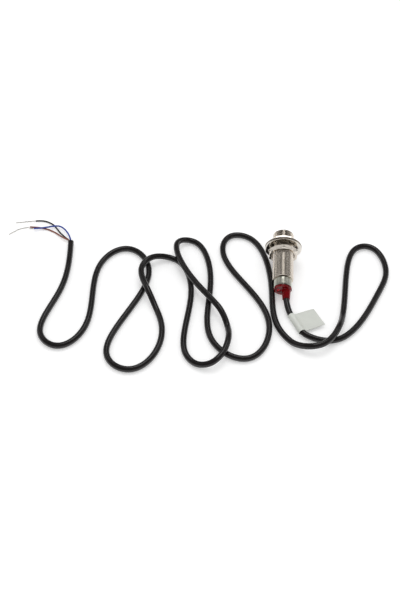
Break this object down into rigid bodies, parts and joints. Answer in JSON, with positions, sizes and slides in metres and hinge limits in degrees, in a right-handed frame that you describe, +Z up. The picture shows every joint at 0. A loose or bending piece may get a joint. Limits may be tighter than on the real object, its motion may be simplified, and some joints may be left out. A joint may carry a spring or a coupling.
{
  "type": "proximity sensor",
  "caption": "Cylindrical threaded proximity sensor with a moulded rear cap and boot, hexagon mounting nuts, toothed lock washers and a free cable with stripped cores.",
  "frame": {"origin": "on the surface it lies on, below the middle of the sensor's box without its cable", "axes": "+Z up, +Y the way the sensor looks, along the floor, +X to its right seen from behind"},
  "size_m": [0.3394, 0.1718, 0.0318],
  "materials": {
    "nickel_brass": "satin",
    "nickel_steel": "satin",
    "front_window": "gloss",
    "red_cap": "gloss, translucent",
    "black_plastic": "matt",
    "rubber_seal": "matt",
    "diode_epoxy": "gloss",
    "board_laminate": "satin",
    "component_black": "matt",
    "tinned_metal": "satin",
    "trimmer_plastic": "matt",
    "adjuster_plastic": "gloss",
    "cable_jacket": "satin",
    "label_film": "satin",
    "core_blue": "satin",
    "core_black": "satin",
    "core_brown": "satin"
  },
  "bodies": {
    "root": {"barrel": "nickel_brass", "front_lens": "front_window", "lens_seal": "rubber_seal", "optics_holder": "black_plastic", "emitter_led": "diode_epoxy", "receiver_photodiode": "diode_epoxy", "circuit_board": "board_laminate", "sensor_chip": "component_black", "output_transistor": "component_black", "voltage_regulator": "component_black", "filter_capacitor": "tinned_metal", "trimmer_body": "trimmer_plastic", "status_led": "diode_epoxy", "rear_cap": "red_cap", "rear_gasket": "rubber_seal", "cable_clamp": "tinned_metal", "lead_brown": "core_brown", "lead_blue": "core_blue", "lead_black": "core_black", "cable": "cable_jacket", "wire_brown": "core_brown", "wire_blue": "core_blue", "wire_black": "core_black", "strands_brown": "tinned_metal", "strands_blue": "tinned_metal", "strands_black": "tinned_metal", "flag_label": "label_film"},
    "front_washer_carrier": {"front_washer": "nickel_steel"},
    "front_nut_body": {"front_nut": "nickel_brass"},
    "rear_washer_carrier": {"rear_washer": "nickel_steel"},
    "rear_nut_body": {"rear_nut": "nickel_brass"},
    "adjuster": {"adjuster_screw": "adjuster_plastic"}
  },
  "joints": [
    {"name": "front_washer_slide", "type": "slide", "parent": "root", "child": "front_washer_carrier", "axis": [0, 0.981, 0.1941], "range_m": [0, 0.008]},
    {"name": "front_nut_turn", "type": "hinge", "parent": "front_washer_carrier", "child": "front_nut_body", "pos_m": [0, 0.02163, 0.01653], "axis": [0, 0.981, 0.1941], "range_deg": [0, 2880]},
    {"name": "rear_washer_slide", "type": "slide", "parent": "root", "child": "rear_washer_carrier", "axis": [0, -0.981, -0.1941], "range_m": [0, 0.004]},
    {"name": "rear_nut_turn", "type": "hinge", "parent": "rear_washer_carrier", "child": "rear_nut_body", "pos_m": [0, 0.01231, 0.01469], "axis": [0, -0.981, -0.1941], "range_deg": [0, 1440]},
    {"name": "adjuster_turn", "type": "hinge", "parent": "root", "child": "adjuster", "pos_m": [-0.0034, -0.02173, 0.00795], "axis": [0, -0.981, -0.1941], "range_deg": [-135, 135]}
  ],
  "couplings": [
    {"joint": "front_washer_slide", "follows": "front_nut_turn", "m_per_rad": 0.00015915},
    {"joint": "rear_washer_slide", "follows": "rear_nut_turn", "m_per_rad": 0.00015915}
  ]
}
